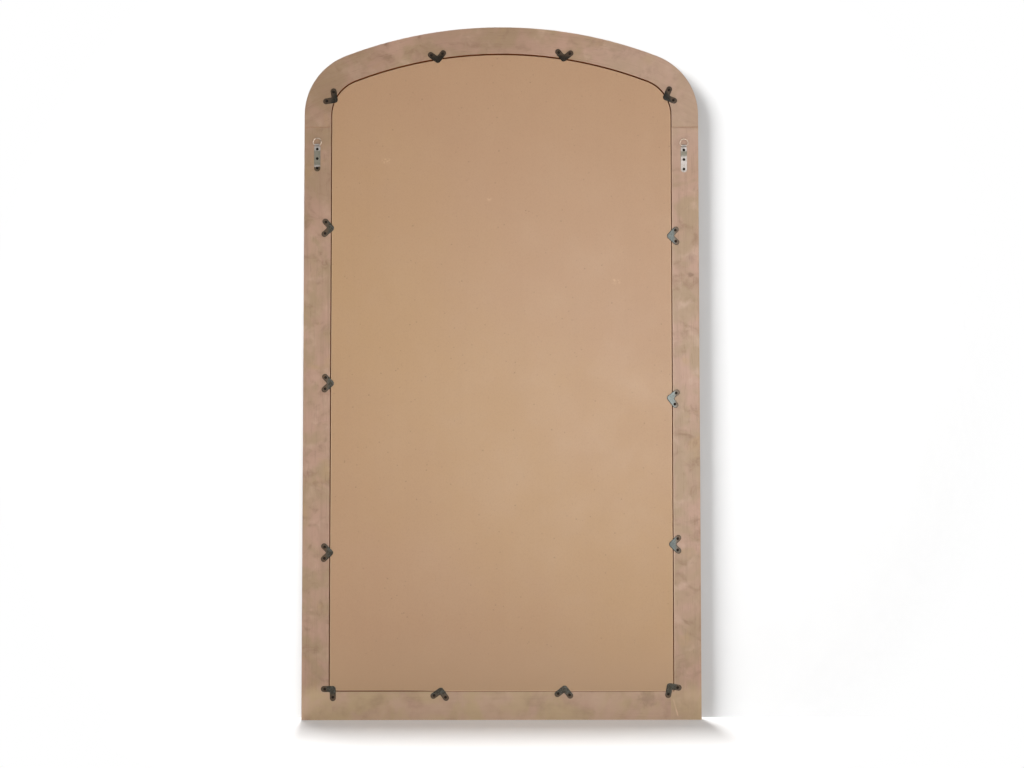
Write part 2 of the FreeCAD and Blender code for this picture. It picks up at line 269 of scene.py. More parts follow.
# stained timber of the frame: a thin blotchy wash over open grain
woodLook = {
    "rosy": tone(175, 139, 117),
    "olive": tone(161, 133, 102),
    "ochre": tone(174, 141, 98),
    "umber": tone(136, 105, 80),
    "pale": tone(188, 156, 132),
    "thin": tone(181, 151, 131),
    "pore": tone(92, 67, 48),
    "knot": tone(108, 75, 52),
    "soil": tone(194, 162, 135),
    "soilOchre": tone(192, 164, 127),
    "raw": tone(164, 90, 36),
    # pale tone of the painted highlight along the rebate, and of the scratch
    "highlightAndScratchTone": tone(212, 178, 148),
    "roughness": 0.44,
    "bump": (0.3, 0.0004),  # strength, depth
    "sweepRadius": 1.08,  # arc that the head's grain is measured along
    "blotches": {"scale": 10.0, "rough": 0.6, "twist": 0.6, "span": (0.38, 0.62)},
    "ageing": {"shift": (8, 1, 4), "scale": 13.0, "detail": 4.0, "rough": 0.6, "twist": 0.5,
               "span": (0.56, 0.74), "share": 0.55},
    "clouds": {"stretch": (24, 24, 30), "detail": 5.0, "rough": 0.6, "twist": 0.6,
               "span": (0.49, 0.78), "share": 0.75, "matt": 0.1},
    "rubs": {"shift": (3, 7, 5), "scale": 24.0, "twist": 0.3,
             "span": (0.52, 0.78), "share": 0.65, "gloss": 0.06},
    "figure": {"stretch": (85, 85, 3.2), "detail": 4.0, "rough": 0.6, "twist": 0.5,
               "span": (0.46, 0.74), "share": 0.3, "relief": 0.5},
    "pores": {"stretch": (820, 820, 26), "detail": 2.0, "rough": 0.5,
              "span": (0.62, 0.72), "share": 0.3, "matt": 0.12, "relief": 0.5},
    "fuzz": {"scale": 420.0, "detail": 4.0, "rough": 0.6, "relief": 0.35},
    "knots": {"shift": (0.11, 0.4, 0.07), "stretch": (1.0, 0.2, 0.75), "scale": 7.5,
              "span": (0.11, 0.02), "share": 0.6},
    "knotFade": {"scale": 60.0, "span": (0.4, 0.6)},
    "foot": {"below": (0.1, 0.06), "scale": 18.0, "span": (0.1, 0.6), "share": 0.6,
             "across": (-0.45, 0.1), "gain": 0.2},
    "fray": {"scale": 90.0, "detail": 4.0, "rough": 0.65},
    # every spot of a mark: across, up, radius, share
    "laps": {"coat": "umber", "core": 0.5,  # two coats of the stain overlap
             "spots": [(0.07, 1.74, 0.2, 0.3), (0.4, 1.67, 0.15, 0.3), (0.474, 1.47, 0.24, 0.3)]},
    "thinWash": {"coat": "thin", "core": 0.5, "spots": [(-0.43, 1.63, 0.26, 0.4)]},
    "smudges": {"coat": "knot", "core": 0.2, "frayed": 1.6,
                "spots": [(-0.487, 1.134, 0.01, 0.45), (-0.488, 1.176, 0.018, 0.3),
                          (-0.37, 0.055, 0.028, 0.35), (0.47, 1.118, 0.012, 0.2)]},
    "seam": {"reach": (0.0045, 0.0005), "across": (0.35, -0.35),
             "scale": 38.0, "span": (0.3, 0.6), "share": 0.6},
    # painted highlight: a pale tint on the rounded edges of the back
    "arrisHighlight": {"offBack": (0.98, 0.8), "offSide": (0.05, 0.3), "depths": (0.0025, 0.0012), "share": 0.55},
    "backFace": (0.0015, 0.0005),  # depths that still count as the face
    # painted highlight: a pale band along the rebate edge, stronger lower down
    "rebateHighlight": {"width": 0.003, "above": (0.068, 0.076), "share": 0.5, "below": (0.7, 0.35), "gain": 0.3},
    "scratch": {"high": (-0.4358, 0.0536), "low": (-0.4475, 0.01), "highFade": 0.006, "lowFade": 0.003,
                "beside": (0.0024, 0.0012), "frayed": 0.001, "share": 0.35,
                "below": (0.032, 0.022), "gain": 0.4},
    "rebate": {"inward": (-0.02, -0.1), "wall": (0.017, 0.015), "level": (0.5, 0.8), "floor": (0.002, 0.004),
               "matt": 0.45},  # the stain never reached into it
    # run of the grain, and shift to the member's own patch of the wash
    "members": {
        "arched_head": {"name": "woodArchedHead", "run": "arched", "shift": (0.31, 0.0, 0.12)},
        "right_stile": {"name": "woodRightStile", "run": "upright", "shift": (1.7, 0.4, 0.9)},
        "left_stile": {"name": "woodLeftStile", "run": "upright", "shift": (4.2, 1.3, 2.6), "rebateHighlightShare": 0.9},
        "bottom_rail": {"name": "woodBottomRail", "run": "level", "shift": (2.9, 2.2, 6.1)},
    },
}


def grainSpace(bench, place, run):  # third axis along the grain
    x, y, z = axes(bench, place, "XYZ")
    if run == "level":
        return bench.node("ShaderNodeCombineXYZ", None, {0: z, 1: y, 2: x})
    if run == "arched":
        rise = z - back["crownMiddle"]
        radius = (x * x + rise * rise) ** 0.5
        sweep = x.maths("ARCTAN2", x, rise) * woodLook["sweepRadius"]
        return bench.node("ShaderNodeCombineXYZ", None, {0: radius, 1: y, 2: sweep})
    return place


def outwardness(bench, place):  # below zero on a face that looks in at the middle of the mirror
    sockets = {0: moved(bench, place, (0, 0, -backPlan["middle"])), 1: surfaceNormal(bench)}
    return bench.node("ShaderNodeVectorMath", {"operation": "DOT_PRODUCT"}, sockets, "Value")


def stainCoats(bench, stock):
    look = woodLook
    layers = ("blotches", "ageing", "clouds", "rubs")
    blotch, aged, cloud, rub = (patches(bench, stock, look[layer]) for layer in layers)
    wash = tint(bench, blotch, look["olive"], look["rosy"])
    wash = tint(bench, aged * look["ageing"]["share"], wash, look["ochre"])
    wash = tint(bench, cloud * look["clouds"]["share"], wash, look["umber"])
    wash = tint(bench, rub * look["rubs"]["share"], wash, look["pale"])
    return wash, blotch, cloud, rub


def openGrain(bench, wash, stock, grain):
    look = woodLook
    figure = noise(bench, grain, look["figure"])
    streaks = ease(bench, figure, look["figure"]["span"])
    wash = tint(bench, streaks * look["figure"]["share"], wash, look["umber"])
    pores = patches(bench, grain, look["pores"])
    wash = tint(bench, pores * look["pores"]["share"], wash, look["pore"])
    knots = spots(bench, stock, look["knots"]) * patches(bench, stock, look["knotFade"])
    wash = tint(bench, knots * look["knots"]["share"], wash, look["knot"])
    return wash, figure, pores


def soiledFoot(bench, wash, stock, blotch, x, z):
    look = woodLook
    plan = look["foot"]
    foot = ease(bench, z, plan["below"]) * patches(bench, stock, plan)
    soil = tint(bench, blotch, look["soilOchre"], look["soil"])
    return tint(bench, foot * (plan["share"] + ease(bench, x, plan["across"]) * plan["gain"]), wash, soil)


def stainMarks(bench, wash, fray, x, z):
    for mark in ("laps", "thinWash", "smudges"):
        plan = woodLook[mark]
        for spotX, spotZ, radius, share in plan["spots"]:
            away = awayFrom(x, z, spotX, spotZ)
            if "frayed" in plan:
                away = away + fray * (radius * plan["frayed"])
            dab = ease(bench, away, (radius, radius * plan["core"]))
            wash = tint(bench, dab * share, wash, woodLook[plan["coat"]])
    return wash


def jointSeam(bench, wash, stock, x, z):
    plan = woodLook["seam"]
    seam = ease(bench, abs(z - back["jointHeight"]), plan["reach"]) * ease(bench, x, plan["across"])
    return tint(bench, seam * patches(bench, stock, plan) * plan["share"], wash, woodLook["umber"])


# painted highlight: lighter where the normal turns from the back to the side, on the rounded edges
def paintArrisHighlight(bench, wash, facing, y):
    plan = woodLook["arrisHighlight"]
    turn = abs(facing)
    arrisHighlight = ease(bench, turn, plan["offBack"]) * ease(bench, turn, plan["offSide"])
    return tint(bench, arrisHighlight * atDepth(bench, y, plan["depths"]) * plan["share"], wash, woodLook["pale"])


def rebateHighlightAndScratch(bench, wash, rebateHighlightShare, fray, x, y, z):  # painted highlight: a pale band along the rebate edge that lightens the gap's shade line, with a scratch below it
    look = woodLook
    onBack = atDepth(bench, y, look["backFace"])
    plan = look["rebateHighlight"]
    edge = back["rebateHalf"]
    # painted highlight along the rebate edge
    rebateHighlightMask = ease(bench, abs(x), (edge + plan["width"], edge)) * onBack * ease(bench, z, plan["above"])
    rebateHighlightMask = rebateHighlightMask * (plan["share"] + ease(bench, z, plan["below"]) * plan["gain"])
    wash = tint(bench, rebateHighlightMask * rebateHighlightShare, wash, look["highlightAndScratchTone"])

    plan = look["scratch"]
    (highX, highZ), (lowX, lowZ) = plan["high"], plan["low"]
    slope = (lowX - highX) / (lowZ - highZ)
    beside = abs(x - highX - (z - highZ) * slope) + fray * plan["frayed"]
    along = ease(bench, z, (highZ, highZ - plan["highFade"]))
    along = along * ease(bench, z, (lowZ - plan["lowFade"], lowZ + plan["lowFade"]))
    strength = plan["share"] + ease(bench, z, plan["below"]) * plan["gain"]
    scratch = ease(bench, beside, plan["beside"]) * along * onBack
    return tint(bench, scratch * strength, wash, look["highlightAndScratchTone"])


def stainedWood(name, run, shift, rebateHighlightShare=0.0):
    look = woodLook
    bench = newFinish(name)
    place = surfacePlace(bench)
    x, y, z = axes(bench, place, "XYZ")
    facing = surfaceFacing(bench)
    stock = moved(bench, place, shift)
    grain = moved(bench, grainSpace(bench, place, run), shift)
    fray = sway(bench, stock, look["fray"])

    wash, blotch, cloud, rub = stainCoats(bench, stock)
    wash, figure, pores = openGrain(bench, wash, stock, grain)
    wash = soiledFoot(bench, wash, stock, blotch, x, z)
    wash = stainMarks(bench, wash, fray, x, z)
    wash = jointSeam(bench, wash, stock, x, z)
    wash = paintArrisHighlight(bench, wash, facing, y)
    if rebateHighlightShare:
        wash = rebateHighlightAndScratch(bench, wash, rebateHighlightShare, fray, x, y, z)

    plan = look["rebate"]
    wall = ease(bench, outwardness(bench, place), plan["inward"]) * atDepth(bench, y, plan["wall"])
    bare = wall + ease(bench, facing, plan["level"]) * atDepth(bench, y, plan["floor"])
    wash = tint(bench, bare, wash, look["raw"])

    roughness = look["roughness"] + cloud * look["clouds"]["matt"] - rub * look["rubs"]["gloss"]
    height = figure * look["figure"]["relief"] - pores * look["pores"]["relief"]
    height = height + noise(bench, stock, look["fuzz"]) * look["fuzz"]["relief"]
    return finished(bench, {
        "Base Color": wash,
        "Roughness": roughness + pores * look["pores"]["matt"] + bare * plan["matt"],
        "Normal": bumped(bench, height, *look["bump"]),
    })


for member, memberPlan in woodLook["members"].items():
    dress(stainedWood(**memberPlan), member)
print("frame timber stained")


# tan hardboard in the rebate
boardLook = {
    "rosy": tone(175, 137, 103),
    "honey": tone(177, 140, 99),
    "pale": tone(180, 145, 110),
    "fibre": tone(152, 114, 83),
    "fleck": tone(116, 84, 59),
    "edge": tone(204, 168, 132),
    # dark tone of the painted shade in the gap under the board
    "seat": tone(106, 64, 34),
    "roughness": 0.4,
    "bump": (0.2, 0.0003),
    # warm band across the middle, with a ragged edge
    "band": {"height": 0.67, "slope": 0.88, "reach": (0.75, 0.0), "frayed": 0.8,
             "scale": 3.2, "detail": 6.0, "rough": 0.7},
    "haze": {"shift": (5, 2, 8), "scale": 6.5, "detail": 8.0, "rough": 0.75, "twist": 0.2,
             "span": (0.38, 0.74), "share": 0.3, "gloss": 0.05},
    "roller": {"stretch": (48, 48, 1.6), "detail": 5.0, "rough": 0.7, "span": (0.45, 0.8), "share": 0.06},
    "fibres": {"stretch": (260, 260, 200), "detail": 5.0, "rough": 0.7, "twist": 0.6,
               "span": (0.45, 0.72), "share": 0.22, "matt": 0.12},
    "flecks": {"scale": 75.0, "span": (0.2, 0.08), "share": 0.4},
    "fleckFade": {"scale": 40.0, "span": (0.52, 0.66)},
    "scuffs": {"stretch": (3.4, 3.4, 6.0), "span": (0.06, 0.02), "share": 0.5},
    "scuffFade": {"scale": 160.0, "detail": 4.0, "span": (0.45, 0.6)},
    "border": {"inset": (0.0025, 0.0004), "share": 0.6},
    "foot": {"below": (0.26, 0.08), "share": 0.7},
    # painted shade: a dark line along the board's lower edge, towards one end, stands for the gap there; a
    # pale line along the rest
    "lowerEdge": {"above": (0.003, 0.0008), "shadedEnd": (0.12, 0.25), "share": 0.7, "shadedEndShare": 0.9},
}


def boardSkin(bench, place, x, z):
    look = boardLook
    plan = look["band"]
    ragged = abs(z - plan["height"] - x * plan["slope"]) + sway(bench, place, plan) * plan["frayed"]
    skin = tint(bench, ease(bench, ragged, plan["reach"]), look["rosy"], look["honey"])
    haze = patches(bench, place, look["haze"])
    skin = tint(bench, haze * look["haze"]["share"], skin, look["pale"])
    skin = tint(bench, patches(bench, place, look["roller"]) * look["roller"]["share"], skin, look["fibre"])

    fibre = noise(bench, place, look["fibres"])
    strands = ease(bench, fibre, look["fibres"]["span"])
    skin = tint(bench, strands * look["fibres"]["share"], skin, look["fibre"])
    flecks = spots(bench, place, look["flecks"]) * patches(bench, place, look["fleckFade"])
    skin = tint(bench, flecks * look["flecks"]["share"], skin, look["fleck"])
    scuffs = spots(bench, place, look["scuffs"]) * patches(bench, place, look["scuffFade"])
    return tint(bench, scuffs * look["scuffs"]["share"], skin, look["edge"]), haze, fibre


def boardEdges(bench, skin, x, z):
    look = boardLook
    border = ease(bench, abs(x), [back["boardHalf"] - inset for inset in look["border"]["inset"]])
    skin = tint(bench, border * look["border"]["share"], skin, look["edge"])
    skin = tint(bench, ease(bench, z, look["foot"]["below"]) * look["foot"]["share"], skin, look["pale"])
    plan = look["lowerEdge"]
    seat = ease(bench, z, [back["boardBase"] + above for above in plan["above"]])
    shadedEnd = ease(bench, x, plan["shadedEnd"])
    skin = tint(bench, seat * (1.0 - shadedEnd) * plan["share"], skin, look["edge"])
    # painted shade of the gap under the board
    return tint(bench, seat * shadedEnd * plan["shadedEndShare"], skin, look["seat"])


def hardboard(name):
    look = boardLook
    bench = newFinish(name)
    place = surfacePlace(bench)
    x, z = axes(bench, place, "XZ")
    skin, haze, fibre = boardSkin(bench, place, x, z)
    return finished(bench, {
        "Base Color": boardEdges(bench, skin, x, z),
        "Roughness": look["roughness"] + fibre * look["fibres"]["matt"] - haze * look["haze"]["gloss"],
        "Normal": bumped(bench, fibre, *look["bump"]),
    })


dress(hardboard("tanHardboard"), "backing_board")
print("backing board finished")


# dark spring steel of the retaining clips
clipLook = {
    "steel": tone(66, 62, 54),
    "bloom": tone(78, 77, 72),
    "reflectionBlue": tone(65, 68, 66),
    "rust": tone(84, 65, 48),
    "aged": tone(36, 31, 26),
    # dark tone of the painted shade on the clips' rounded rim
    "rim": tone(40, 33, 26),
    "roughness": 0.23,
    "bump": (0.12, 0.0002),
    "blooms": {"scale": 130.0, "detail": 4.0, "rough": 0.6, "twist": 0.7, "span": (0.4, 0.68), "matt": 0.06},
    "coolSideTint": {"across": (-0.3, -0.42), "above": (0.15, 0.35)},  # painted reflection: a cooler, bluer tint on the clips of the left stile, for the bluish lamp reflection they show
    "crust": {"shift": (2, 5, 3), "scale": 170.0, "detail": 5.0, "rough": 0.7, "span": (0.35, 0.7)},
    "ageing": {"above": (1.5, 1.62), "share": 0.75, "gain": 0.25},  # the clips of the head are the darkest
    "rusting": {"outward": (0.002, 0.012), "share": 0.45, "gain": 0.55, "agedLoss": 0.4,  # brown arms
                "dull": 0.3, "matt": 0.2},
    "rimShade": {"turned": (0.97, 0.6), "share": 0.7, "dull": 0.3, "matt": 0.2},  # painted shade: dark rim on the rounded edges, for the dark outline of each clip
    "scratches": {"stretch": (700, 700, 3000), "detail": 2.0, "rough": 0.5, "matt": 0.05, "relief": 0.4},
    "cornerSoft": 0.005,  # blends a corner's round with the straight runs
    "farInside": 1.0,  # what a corner counts for away from it
}


def overFrame(bench, x, z):  # how far a point lies outwards of the edge of the rebate
    turnX, turnZ = back["shoulder"]
    soft, far = clipLook["cornerSoft"], clipLook["farInside"]
    side = abs(x)
    straight = (side - back["rebateHalf"]).larger(back["rebateBase"] - z)
    crown = awayFrom(x, z, 0.0, back["crownMiddle"]) - back["rebateCrown"]
    corner = awayFrom(side, z, turnX, turnZ) - back["rebateTurn"]
    within = ease(bench, side, (turnX - soft, turnX + soft)) * ease(bench, z, (turnZ - soft, turnZ + soft))
    return straight.larger(crown).larger((corner + far) * within - far)


def clipSteel(name):
    look = clipLook
    bench = newFinish(name)
    place = surfacePlace(bench)
    x, z = axes(bench, place, "XZ")
    bloom = patches(bench, place, look["blooms"])
    skin = tint(bench, bloom, look["steel"], look["bloom"])
    # painted reflection tint on the clips of the left stile
    coolSideTint = ease(bench, x, look["coolSideTint"]["across"]) * ease(bench, z, look["coolSideTint"]["above"])
    skin = tint(bench, coolSideTint, skin, look["reflectionBlue"])

    crust = patches(bench, place, look["crust"])
    ageing, rusting, rimShade, scratches = (look[key] for key in ("ageing", "rusting", "rimShade", "scratches"))
    aged = ease(bench, z, ageing["above"])
    skin = tint(bench, aged * (ageing["share"] + crust * ageing["gain"]), skin, look["aged"])
    rust = ease(bench, overFrame(bench, x, z), rusting["outward"])
    rust = rust * (rusting["share"] + crust * rusting["gain"])
    skin = tint(bench, rust * (1.0 - aged * rusting["agedLoss"]), skin, look["rust"])
    # painted shade: darker on the rounded rim
    rim = ease(bench, abs(surfaceFacing(bench)), rimShade["turned"])
    skin = tint(bench, rim * rimShade["share"], skin, look["rim"])

    scratch = noise(bench, place, scratches)
    roughness = look["roughness"] + bloom * look["blooms"]["matt"] + rust * rusting["matt"]
    return finished(bench, {
        "Base Color": skin,
        "Metallic": 1.0 - rust * rusting["dull"] - rim * rimShade["dull"],
        "Roughness": roughness + rim * rimShade["matt"] + scratch * scratches["matt"],
        "Normal": bumped(bench, scratch * scratches["relief"] + rust, *look["bump"]),
    })


clipNames = [name for name in nodes if name.startswith("clip_") and name != "clip_screws"]
dress(clipSteel("darkClipSteel"), *clipNames)
print("clips finished:", len(clipNames))


# oxide-black screws
screwLook = {
    "clip": {"steel": tone(27, 21, 17), "wear": tone(46, 38, 30), "roughness": 0.4},
    "hanger": {"steel": tone(20, 16, 12), "wear": tone(32, 27, 21), "roughness": 0.5},
    "stains": {"scale": 380.0, "detail": 4.0, "rough": 0.65, "span": (0.42, 0.7), "dull": 0.35, "matt": 0.2},
    "wearing": {"turned": (0.55, 0.9), "share": 0.45},
    "bump": (0.1, 0.0002),
}


def screwSteel(name, kind):
    look, metal = screwLook, screwLook[kind]
    bench = newFinish(name)
    stain = patches(bench, surfacePlace(bench), look["stains"])
    wear = ease(bench, abs(surfaceFacing(bench)), look["wearing"]["turned"]) * (1.0 - stain)
    return finished(bench, {
        "Base Color": tint(bench, wear * look["wearing"]["share"], metal["steel"], metal["wear"]),
        "Metallic": 1.0 - stain * look["stains"]["dull"],
        "Roughness": metal["roughness"] + stain * look["stains"]["matt"],
        "Normal": bumped(bench, stain, *look["bump"]),
    })


dress(screwSteel("clipScrewSteel", "clip"), "clip_screws")
dress(screwSteel("hangerScrewSteel", "hanger"), "hanger_screws")
print("screws finished")


# bright plating of the hangers
platingLook = {
    "strap": {
        "zinc": tone(147, 140, 135),
        "spangle": tone(165, 158, 153),
        "dull": tone(104, 101, 87),
        "tarnish": tone(80, 63, 38),
        "cloudScale": 95.0,
        "cloudShare": 0.45,
        "roughness": 0.38,
    },
    "ring": {
        "zinc": tone(190, 170, 152),
        "spangle": tone(214, 196, 178),
        "dull": tone(112, 90, 74),
        "cloudScale": 240.0,
        "cloudShare": 0.8,
        "roughness": 0.36,
    },
    "flakes": {"scale": 420.0, "share": 0.6, "matt": 0.06},
    "clouds": {"detail": 4.0, "rough": 0.6, "twist": 0.5, "span": (0.45, 0.7), "matt": 0.12, "relief": 0.4},
    "drawn": {"stretch": (2600, 2600, 120), "detail": 2.0, "rough": 0.5, "relief": 0.6},
    "ragged": {"scale": 260.0, "detail": 4.0, "rough": 0.6, "frayed": 0.008},
    "shadedStretch": {"soft": 0.003, "share": 0.8, "matt": 0.1},  # painted shade: a darker, duller stretch between two heights, for the dim part of the strap's reflection
    "tarnishing": {"soft": 0.0015, "share": 0.85, "matt": 0.25},  # creeps up from the lower end
    "bump": (0.08, 0.0002),
    # heights above the strap's lower end
    "right_hanger_strap": {"shadedSpan": (0.0156, 0.0546), "tarnished": 0.0121},
    "left_hanger_strap": {"shadedSpan": (0.0426, 0.0551)},
}


def shadedAndTarnishedStrap(bench, skin, roughness, place, strap):
    look, marks = platingLook, platingLook[strap]
    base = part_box(strap)[0][2]
    z = axes(bench, place, "Z")[0]
    ragged = z + sway(bench, place, look["ragged"]) * look["ragged"]["frayed"]
    # painted shade on a stretch of the strap; tarnish at the lower end follows
    plan = look["shadedStretch"]
    low, high = (base + height for height in marks["shadedSpan"])
    shadedSpan = ease(bench, ragged, (low - plan["soft"], low + plan["soft"]))
    shadedSpan = shadedSpan * ease(bench, ragged, (high + plan["soft"], high - plan["soft"]))
    skin = tint(bench, shadedSpan * plan["share"], skin, look["strap"]["dull"])
    roughness = roughness + shadedSpan * plan["matt"]
    if "tarnished" in marks:
        plan = look["tarnishing"]
        top = base + marks["tarnished"]
        tarnish = ease(bench, ragged, (top + plan["soft"], top - plan["soft"]))
        skin = tint(bench, tarnish * plan["share"], skin, look["strap"]["tarnish"])
        roughness = roughness + tarnish * plan["matt"]
    return skin, roughness


def plating(name, kind, strap=None):
    look, metal = platingLook, platingLook[kind]
    bench = newFinish(name)
    place = surfacePlace(bench)
    spangle = cells(bench, place, look["flakes"]).output("Color")
    flake = bench.node("ShaderNodeSeparateColor", None, {0: spangle})
    skin = tint(bench, flake * look["flakes"]["share"], metal["zinc"], metal["spangle"])
    cloud = patches(bench, place, {**look["clouds"], "scale": metal["cloudScale"]})
    skin = tint(bench, cloud * metal["cloudShare"], skin, metal["dull"])
    roughness = metal["roughness"] + cloud * look["clouds"]["matt"] + flake * look["flakes"]["matt"]
    if strap:
        skin, roughness = shadedAndTarnishedStrap(bench, skin, roughness, place, strap)
    drawn = noise(bench, place, look["drawn"])
    height = drawn * look["drawn"]["relief"] + cloud * look["clouds"]["relief"]
    return finished(bench, {
        "Base Color": skin,
        "Metallic": 1.0,
        "Roughness": roughness,
        "Normal": bumped(bench, height, *look["bump"]),
    })


dress(plating("platedStrapRight", "strap", "right_hanger_strap"), "right_hanger_strap")
dress(plating("platedStrapLeft", "strap", "left_hanger_strap"), "left_hanger_strap")
dress(plating("platedRing", "ring"), "right_hanger_ring", "left_hanger_ring")
print("hangers plated")


# silvered sheet: bright in front, grey backing paint behind, green at the cut edge
glassLook = {
    "silver": tone(222, 228, 226),
    "paint": tone(112, 114, 116),
    "cutEdge": tone(96, 138, 122),
    "roughness": 0.015,
    "paintMatt": 0.45,
    "back": (0.4, 0.6),
    "front": (-0.4, -0.6),
    "smears": {"stretch": (6, 6, 14), "detail": 4.0, "rough": 0.6, "twist": 1.2,
               "span": (0.5, 0.8), "matt": 0.012},
    "speckles": {"scale": 900.0, "rough": 0.6, "share": 0.85, "gain": 0.15},
}


def silveredGlass(name):
    look = glassLook
    bench = newFinish(name)
    place = surfacePlace(bench)
    facing = surfaceFacing(bench)
    front = ease(bench, facing, look["front"])
    speckle = noise(bench, place, look["speckles"])
    painted = look["speckles"]["share"] + speckle * look["speckles"]["gain"]
    painted = ease(bench, facing, look["back"]) * painted
    smear = patches(bench, place, look["smears"])
    skin = tint(bench, front, look["cutEdge"], look["silver"])
    return finished(bench, {
        "Base Color": tint(bench, painted, skin, look["paint"]),
        "Metallic": front,
        "Roughness": look["roughness"] + (1.0 - front) * look["paintMatt"] + smear * look["smears"]["matt"],
    })


dress(silveredGlass("silveredGlass"), "mirror_glass")
print("mirror glass silvered")


# bare beech dowels and black setting blocks, both closed in by the frame
dowelLook = {
    "ground": tone(201, 166, 124),
    "marked": tone(160, 116, 78),
    "roughness": 0.62,
    "bump": (0.2, 0.0003),
    "marks": {"stretch": (500, 1800, 500), "span": (0.52, 0.68), "share": 0.6, "matt": 0.1},  # rays
}
blockLook = {
    "ground": tone(38, 38, 40),
    "marked": tone(66, 66, 68),
    "roughness": 0.7,
    "bump": (0.2, 0.0004),
    "marks": {"scale": 240.0, "detail": 5.0, "rough": 0.65,  # bloom on the rubber
              "span": (0.48, 0.74), "share": 0.5, "matt": 0.15},
}


def twoTone(name, look):
    bench = newFinish(name)
    marks = patches(bench, surfacePlace(bench), look["marks"])
    return finished(bench, {
        "Base Color": tint(bench, marks * look["marks"]["share"], look["ground"], look["marked"]),
        "Roughness": look["roughness"] + marks * look["marks"]["matt"],
        "Normal": bumped(bench, marks, *look["bump"]),
    })


dress(twoTone("bareBeech", dowelLook), "frame_dowels")
dress(twoTone("settingRubber", blockLook), "setting_blocks")
print("dowels and setting blocks finished")


# foam sheet pressed between glass and board, with a soft bulged rim
foamLook = {
    "foam": tone(214, 215, 212),
    "pore": tone(168, 170, 168),
    "roughness": 0.82,
    "bump": (0.3, 0.0003),
    "pores": {"scale": 700.0, "span": (0.55, 0.2), "share": 0.55, "matt": 0.1},
    "drift": {"scale": 30.0, "detail": 4.0, "rough": 0.6, "span": (0.4, 0.7), "share": 0.15},
    # share of the thickness, inset
    "rim": [(0.0, 0.0011), (0.12, 0.0003), (0.5, 0.0), (0.88, 0.0003), (1.0, 0.0011)],
    "sideSteps": 12,
    "roundSteps": 14,
    "crownSteps": 16,
    "fill": 0.9,
}
foamLow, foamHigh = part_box("cushion_sheet")


def foamOutline(inset):
    sideSteps, roundSteps, crownSteps = (foamLook[key] for key in ("sideSteps", "roundSteps", "crownSteps"))
    half, base = foamHigh[0] - inset, foamLow[2] + inset
    turnX, turnZ = back["shoulder"]
    gap = back["rebateHalf"] - half
    radius, crown = back["rebateTurn"] - gap, back["rebateCrown"] - gap
    lean = math.atan2(turnX, turnZ - back["crownMiddle"])  # where the round runs into the crown
    right = [(half, base + (turnZ - base) * step / sideSteps) for step in range(sideSteps)]
    for step in range(roundSteps + 1):
        angle = (math.pi / 2 - lean) * step / roundSteps
        right.append((turnX + radius * math.cos(angle), turnZ + radius * math.sin(angle)))
    for step in range(1, crownSteps + 1):
        angle = lean * (1 - step / crownSteps)
        right.append((crown * math.sin(angle), back["crownMiddle"] + crown * math.cos(angle)))
    left = [(-px, pz) for px, pz in reversed(right[:-1])]
    return right + left


def foamSheet(name):
    shape = bmesh.new()
    rings = []
    for share, inset in foamLook["rim"]:
        deep = foamLow[1] + (foamHigh[1] - foamLow[1]) * share
        rings.append([shape.verts.new((px, deep, pz)) for px, pz in foamOutline(inset)])
    count = len(rings[0])
    for lower, upper in zip(rings, rings[1:]):
        for here in range(count):
            after = (here + 1) % count
            shape.faces.new((lower[here], lower[after], upper[after], upper[here]))
    shape.faces.new(list(reversed(rings[0])))
    shape.faces.new(rings[-1])
    bmesh.ops.triangulate(shape, faces=[face for face in shape.faces if len(face.verts) > 4])
    bmesh.ops.recalc_face_normals(shape, faces=shape.faces)
    mesh = bpy.data.meshes.new(name)
    shape.to_mesh(mesh)
    shape.free()
    return placed(name, mesh)


def closedCellFoam(name):
    look = foamLook
    bench = newFinish(name)
    place = surfacePlace(bench)
    pores = spots(bench, place, look["pores"])
    drift = patches(bench, place, look["drift"])
    share = pores * look["pores"]["share"] + drift * look["drift"]["share"]
    return finished(bench, {
        "Base Color": tint(bench, share, look["foam"], look["pore"]),
        "Roughness": look["roughness"] + pores * look["pores"]["matt"],
        "Normal": bumped(bench, 1.0 - pores, *look["bump"]),
    })


foam = foamSheet("cushionFoam")
foam.data.materials.append(closedCellFoam("closedCellFoam"))
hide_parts("cushion_sheet")
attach(foam, "mirror")
print("foam sheet laid")


# camera at the viewpoint of the photograph, behind the mirror
cameraPlace = {
    "location": (-0.01843, 4.219, 0.65205),
    "pitch": 0.0478685,
    "yaw": 0.0020294,
    "roll": -0.000553,
    "lens": 57.705,
    "sensor": 36.0,
    "sight": 200.0,  # how far it sees
}


def makeCamera():
    data = bpy.data.cameras.new("backView")
    data.lens = cameraPlace["lens"]
    data.sensor_width = cameraPlace["sensor"]
    data.clip_end = cameraPlace["sight"]
    camera = placed("backView", data)
    pitch, yaw, roll = (cameraPlace[key] for key in ("pitch", "yaw", "roll"))
    ahead = Vector((-math.sin(yaw) * math.cos(pitch), -math.cos(yaw) * math.cos(pitch), math.sin(pitch)))
    across = Vector((-math.cos(yaw), math.sin(yaw), 0.0))
    above = across.cross(ahead)
    right = across * math.cos(roll) + above * math.sin(roll)
    up = above * math.cos(roll) - across * math.sin(roll)
    turn = Matrix((right, up, -ahead)).transposed().to_4x4()
    camera.matrix_world = Matrix.Translation(cameraPlace["location"]) @ turn
    bpy.context.scene.camera = camera


makeCamera()
print("camera placed")


